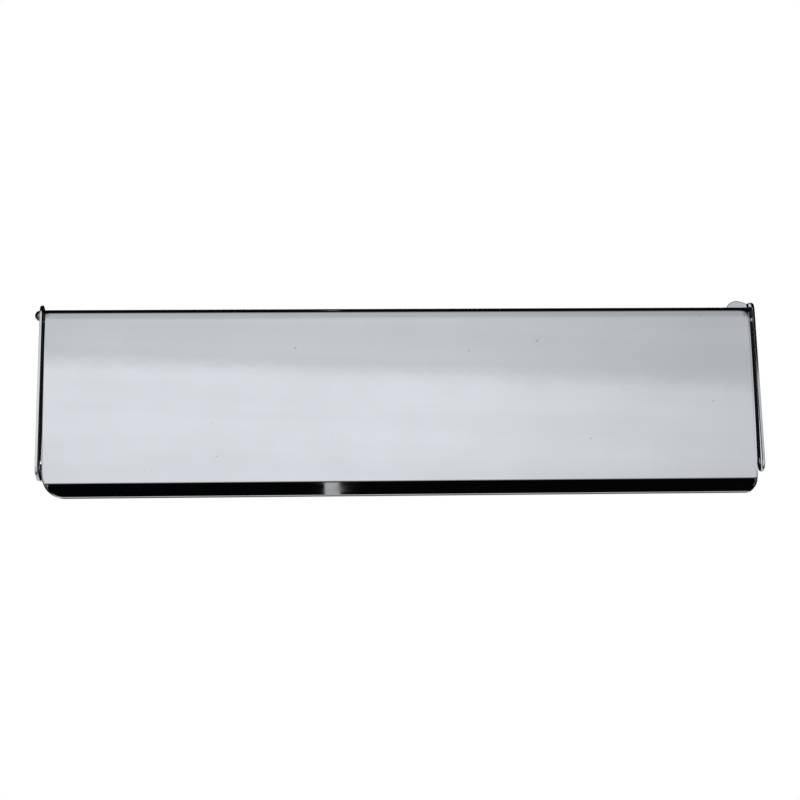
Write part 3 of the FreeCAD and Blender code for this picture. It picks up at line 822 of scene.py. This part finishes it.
def set_world():
    """White behind the object; for reflections, a lit room low in front and black above it."""
    world = bpy.data.worlds.new("studio")
    bpy.context.scene.world = world
    world.use_nodes = True
    nodes = Nodes(world.node_tree)
    direction = nodes.add("ShaderNodeTexCoord").outputs["Generated"]
    axes = nodes.add("ShaderNodeSeparateXYZ", inputs={"Vector": direction}).outputs
    to_degrees = 180 / math.pi
    height = nodes.maths("MULTIPLY", nodes.maths("ARCSINE", axes["Z"]), to_degrees)
    ahead = nodes.maths("MULTIPLY", axes["Y"], -1.0)
    aside = nodes.maths("MULTIPLY", nodes.maths("ARCTAN2", axes["X"], ahead), to_degrees)

    wall = wall_light(nodes, height, aside)
    table = table_light(nodes, height, aside)
    in_front = nodes.remap(nodes.distance(aside, 0.0), 50.0, 66.0, 1.0, 0.0)
    wall_share = nodes.fade(in_front, height, -12.0, -4.0, 0.0, 1.0)
    lit = nodes.maths("ADD", nodes.maths("MULTIPLY", wall, wall_share), nodes.dim(table, wall_share))
    stray_light = 0.0015
    lit = nodes.maths("ADD", lit, stray_light)
    cool = nodes.add("ShaderNodeCombineColor", inputs={
        0: nodes.maths("MULTIPLY", lit, 0.965), 1: lit, 2: nodes.maths("MULTIPLY", lit, 1.045)})
    room_light = nodes.add("ShaderNodeBackground", inputs={"Color": cool.outputs[0], "Strength": 1.0})
    white = nodes.add("ShaderNodeBackground", inputs={"Color": (1, 1, 1, 1), "Strength": 1.0})
    seen = nodes.add("ShaderNodeLightPath").outputs["Is Camera Ray"]
    mixed = nodes.add("ShaderNodeMixShader", inputs={
        0: seen, 1: room_light.outputs[0], 2: white.outputs[0]})
    nodes.add("ShaderNodeOutputWorld", inputs={"Surface": mixed.outputs[0]})


def add_area_light(name, place, aim, size, radiance):
    """Add an elliptical lamp of a given place, aim, (width, length) and brightness."""
    data = bpy.data.lights.new(name, "AREA")
    data.shape = "ELLIPSE"
    data.size, data.size_y = size
    area = math.pi * size[0] * size[1] / 4
    data.energy = radiance * math.pi * area
    light = bpy.data.objects.new(name, data)
    light.location = place
    light.rotation_mode = "QUATERNION"
    light.rotation_quaternion = (Vector(place) - Vector(aim)).to_track_quat("Z", "Y")
    light.visible_camera = False
    bpy.context.scene.collection.objects.link(light)
    return light


def set_lights():
    """A broad soft light for the floor, and the small lamp whose spot shows in the lip."""
    overhead = (0.3, -0.4, 2.6)
    soft = add_area_light("overhead_soft_light", overhead, (0, 0, FLOOR_LEVEL), (3.6, 3.6), 2.3)
    soft.visible_glossy = False
    above_lip = (-0.0168, -0.183, 0.85)
    spot_on_lip = (-0.027, -0.007, -0.041)
    add_area_light("lip_spot", above_lip, spot_on_lip, (0.013, 0.07), 0.42)


def build_floor():
    """A pale floor below the object, which the chrome doesn't reflect."""
    half = 3.0
    floor = bmesh.new()
    bmesh.ops.create_grid(floor, x_segments=8, y_segments=8, size=half)
    mesh = bpy.data.meshes.new("floor")
    floor.to_mesh(mesh)
    floor.free()
    piece = bpy.data.objects.new("floor", mesh)
    piece.location = (0, 0, FLOOR_LEVEL)
    mesh.materials.append(plain_surface("pale_floor", 0.86))
    bpy.context.scene.collection.objects.link(piece)
    piece.visible_glossy = False


def set_view():
    """Show colours plainly, without a film look."""
    bpy.context.scene.view_settings.view_transform = "Standard"
    bpy.context.scene.view_settings.look = "None"


# ---------------------------------------------------------------- everything


def build():
    set_camera()
    set_view()
    set_world()
    set_lights()
    build_floor()
    sparse_pits = (42, 0.030, 0.22)
    small_pits = (90, 0.03, 0.35)
    flap_chrome = metal(
        "flap_chrome", (0.86, 0.865, 0.875), 0.02, 0.035, (25, 900, 900), sparse_pits)
    bracket_chrome = metal(
        "bracket_chrome", (0.90, 0.905, 0.915), 0.015, 0.03, (700, 700, 40), small_pits)
    rod_steel = metal(
        "rod_steel", (0.36, 0.355, 0.35), 0.16, 0.16, (900, 60, 60), small_pits)
    # the washers are coloured near black, far darker than the rod's steel
    washer_steel = metal(
        "washer_steel", (0.06, 0.06, 0.065), 0.30, 0.12, (300, 300, 300), small_pits)
    build_flap(flap_chrome)
    build_rod(rod_steel)
    build_bracket(1, bracket_chrome)
    build_bracket(-1, bracket_chrome)
    build_washer("right_spacer", "right_washer", washer_steel)
    build_washer("left_spacer", "left_washer", washer_steel)


build()
bpy.context.view_layer.update()
